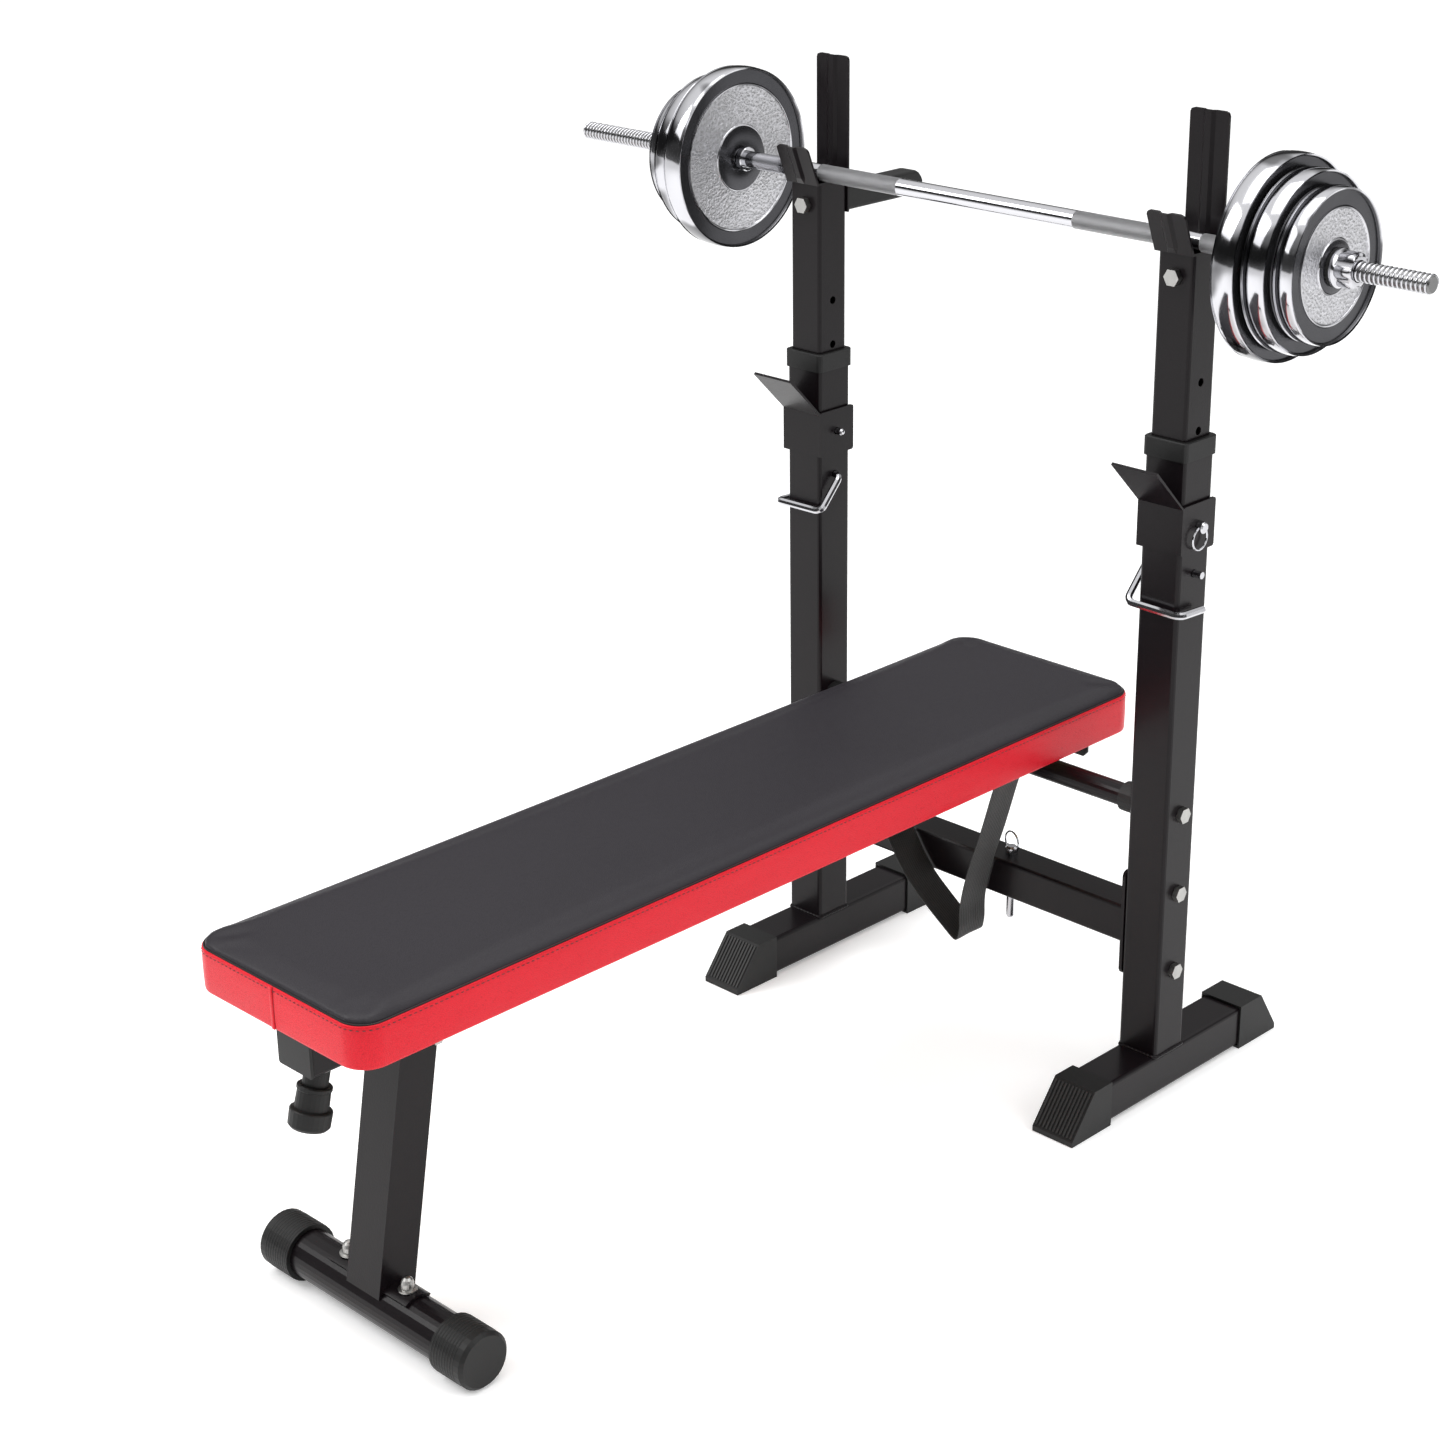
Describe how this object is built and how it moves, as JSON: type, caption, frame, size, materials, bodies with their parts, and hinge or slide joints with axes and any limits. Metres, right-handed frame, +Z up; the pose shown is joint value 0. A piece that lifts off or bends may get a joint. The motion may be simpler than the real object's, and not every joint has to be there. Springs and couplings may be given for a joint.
{
  "type": "home bench press",
  "caption": "Flat padded bench hinged to a two-post bar rack with height-adjustable hooks, safety catches and a loaded threaded barbell.",
  "frame": {"origin": "centre of the whole object's box on the floor", "axes": "+X along the barbell, +Y from the bench's foot end to the rack, +Z up"},
  "size_m": [1.1512, 1.1864, 1.0765],
  "materials": {
    "black_paint": "gloss powder coat",
    "black_plastic": "satin moulded",
    "chrome": "polished",
    "plate_metal": "polished rim, hammered face",
    "zinc": "bright zinc",
    "rubber": "matte",
    "vinyl": "charcoal and red vinyl",
    "plywood": "raw",
    "webbing": "woven"
  },
  "bodies": {
    "rack": {"upright_left": "black_paint", "upright_right": "black_paint", "foot_cap_left_front": "black_plastic", "foot_cap_left_rear": "black_plastic", "foot_cap_right_front": "black_plastic", "foot_cap_right_rear": "black_plastic", "guide_collar_left": "black_plastic", "guide_collar_right": "black_plastic", "safety_catch_left": "black_paint", "safety_catch_right": "black_paint", "crossbar": "black_paint", "support_bar": "black_paint", "crossbar_bolt_left_low": "zinc", "crossbar_bolt_left_high": "zinc", "crossbar_bolt_right_low": "zinc", "crossbar_bolt_right_high": "zinc", "support_socket_left": "black_plastic", "support_socket_right": "black_plastic", "support_bolt_left": "zinc", "support_bolt_right": "zinc"},
    "post_right": {"inner_post_right": "black_paint", "bar_hook_right": "black_paint", "rear_handle_right": "black_plastic", "handle_bolt_right": "zinc"},
    "post_left": {"inner_post_left": "black_paint", "bar_hook_left": "black_paint", "rear_handle_left": "black_plastic", "handle_bolt_left": "zinc"},
    "barbell": {"barbell_bar": "chrome"},
    "plates_left": {"plate_large_left": "plate_metal", "plate_medium_left": "plate_metal", "plate_small_left": "plate_metal"},
    "plates_right": {"plate_large_right": "plate_metal", "plate_medium_right": "plate_metal", "plate_small_right": "plate_metal"},
    "washer_left": {"lock_washer_left": "rubber"},
    "washer_right": {"lock_washer_right": "rubber"},
    "nut_left": {"spinlock_left": "chrome"},
    "nut_right": {"spinlock_right": "chrome"},
    "pin_left": {"catch_pin_left": "chrome"},
    "pin_right": {"catch_pin_right": "chrome"},
    "bail_left": {"height_pin_left": "chrome"},
    "bail_right": {"height_pin_right": "chrome"},
    "lock_pin": {"lock_pin": "chrome"},
    "bench": {"main_beam": "black_paint", "beam_plug": "black_plastic", "pad_bracket": "black_paint", "bench_pad": "vinyl", "pad_board": "plywood", "leg_bracket": "black_paint", "leg_pivot_bolt": "zinc", "knob_housing": "black_plastic", "strap": "webbing"},
    "leg": {"front_leg": "black_paint", "front_foot": "black_paint", "front_foot_cap_left": "black_plastic", "front_foot_cap_right": "black_plastic", "foot_bolt_left": "zinc", "foot_bolt_right": "zinc"},
    "knob": {"pull_knob": "black_plastic"}
  },
  "joints": [
    {"name": "post_slide_right", "type": "slide", "parent": "rack", "child": "post_right", "axis": [0, 0, 1], "range_m": [0, 0.15]},
    {"name": "post_slide_left", "type": "slide", "parent": "rack", "child": "post_left", "axis": [0, 0, 1], "range_m": [0, 0.1501]},
    {"name": "barbell_lift", "type": "slide", "parent": "post_right", "child": "barbell", "axis": [0, 0, 1], "range_m": [0, 0.12]},
    {"name": "plates_spin_left", "type": "hinge", "parent": "barbell", "child": "plates_left", "pos_m": [-0.32015, 0.37895, 0.9541], "axis": [1, 0, 0], "continuous": true},
    {"name": "nut_slide_left", "type": "slide", "parent": "barbell", "child": "washer_left", "axis": [-1, 0, 0], "range_m": [0, 0.0301]},
    {"name": "nut_turn_left", "type": "hinge", "parent": "washer_left", "child": "nut_left", "pos_m": [-0.41015, 0.37895, 0.9541], "axis": [1, 0, 0], "range_deg": [0, 2160]},
    {"name": "catch_pin_pull_left", "type": "slide", "parent": "rack", "child": "pin_left", "axis": [-1, 0, 0], "range_m": [0, 0.071]},
    {"name": "height_pin_swing_left", "type": "hinge", "parent": "rack", "child": "bail_left", "pos_m": [-0.21235, 0.39095, 0.608], "axis": [-1, 0, 0], "range_deg": [0, 75]},
    {"name": "plates_spin_right", "type": "hinge", "parent": "barbell", "child": "plates_right", "pos_m": [0.39985, 0.37895, 0.9541], "axis": [1, 0, 0], "continuous": true},
    {"name": "nut_slide_right", "type": "slide", "parent": "barbell", "child": "washer_right", "axis": [1, 0, 0], "range_m": [0, 0.0301]},
    {"name": "nut_turn_right", "type": "hinge", "parent": "washer_right", "child": "nut_right", "pos_m": [0.48985, 0.37895, 0.9541], "axis": [-1, 0, 0], "range_deg": [0, 2160]},
    {"name": "catch_pin_pull_right", "type": "slide", "parent": "rack", "child": "pin_right", "axis": [1, 0, 0], "range_m": [0, 0.071]},
    {"name": "height_pin_swing_right", "type": "hinge", "parent": "rack", "child": "bail_right", "pos_m": [0.29205, 0.39095, 0.608], "axis": [-1, 0, 0], "range_deg": [0, 75]},
    {"name": "lock_pin_pull", "type": "slide", "parent": "rack", "child": "lock_pin", "axis": [0, 0, 1], "range_m": [0, 0.077]},
    {"name": "bench_fold", "type": "hinge", "parent": "rack", "child": "bench", "pos_m": [0.03985, 0.39095, 0.3358], "axis": [-1, 0, 0], "range_deg": [0, 75]},
    {"name": "leg_fold", "type": "hinge", "parent": "bench", "child": "leg", "pos_m": [0.03985, -0.43385, 0.3015], "axis": [1, 0, 0], "range_deg": [0, 85]},
    {"name": "knob_pull", "type": "slide", "parent": "bench", "child": "knob", "axis": [0, -0.2588, -0.9659], "range_m": [0, 0.012], "stiffness_N_per_m": 400}
  ],
  "couplings": [
    {"joint": "post_slide_left", "follows": "post_slide_right", "ratio": 1},
    {"joint": "nut_slide_left", "follows": "nut_turn_left", "m_per_rad": 0.00079577},
    {"joint": "nut_slide_right", "follows": "nut_turn_right", "m_per_rad": 0.00079577}
  ]
}
